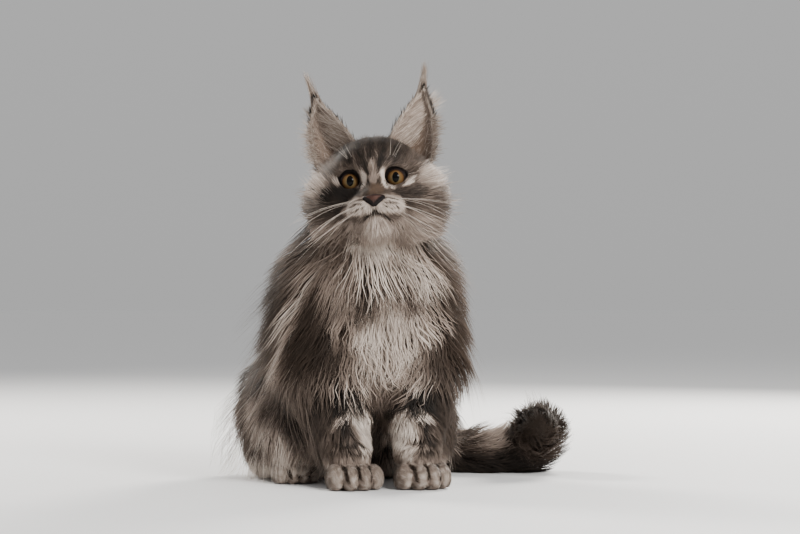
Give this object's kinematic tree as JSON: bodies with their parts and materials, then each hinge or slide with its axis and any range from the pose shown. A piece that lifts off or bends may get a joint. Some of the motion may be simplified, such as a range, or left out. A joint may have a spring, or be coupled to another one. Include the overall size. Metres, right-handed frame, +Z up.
{
  "type": "maine coon kitten",
  "caption": "Life-size still model of a sitting long-haired kitten with tall tufted ears, a deep ruff and bib, and a tail laid round its left side.",
  "frame": {"origin": "on the floor, on the flat under the rump where the kitten sits, in the middle plane of its body", "axes": "+Z up, the chest faces -Y, the kitten's own left side is +X; its head is turned to its right and its tail lies on its left"},
  "size_m": [0.2846, 0.241, 0.3456],
  "materials": {
    "coat": "long soft silver tabby fur, cream on the chest, slate on the back",
    "paw": "short dense cream fur",
    "ear": "thin skin under short pale fur, with long pale hair",
    "nose_leather": "fine-grained moist skin, dusky brown-pink",
    "eye": "wet amber iris with a round black pupil"
  },
  "bodies": {
    "root": {"eye_right": "eye", "eye_left": "eye", "nose": "nose_leather", "head": "coat", "ear_right": "ear", "ear_left": "ear", "neck": "coat", "chest": "coat", "back": "coat", "foreleg_right": "coat", "foreleg_left": "coat", "forepaw_right": "paw", "forepaw_left": "paw", "rump": "coat", "thigh_right": "coat", "thigh_left": "coat", "hindfoot_right": "paw", "hindfoot_left": "paw", "tail_root": "coat", "tail_middle": "coat", "tail_bend": "coat", "tail_tip": "coat"}
  },
  "joints": []
}
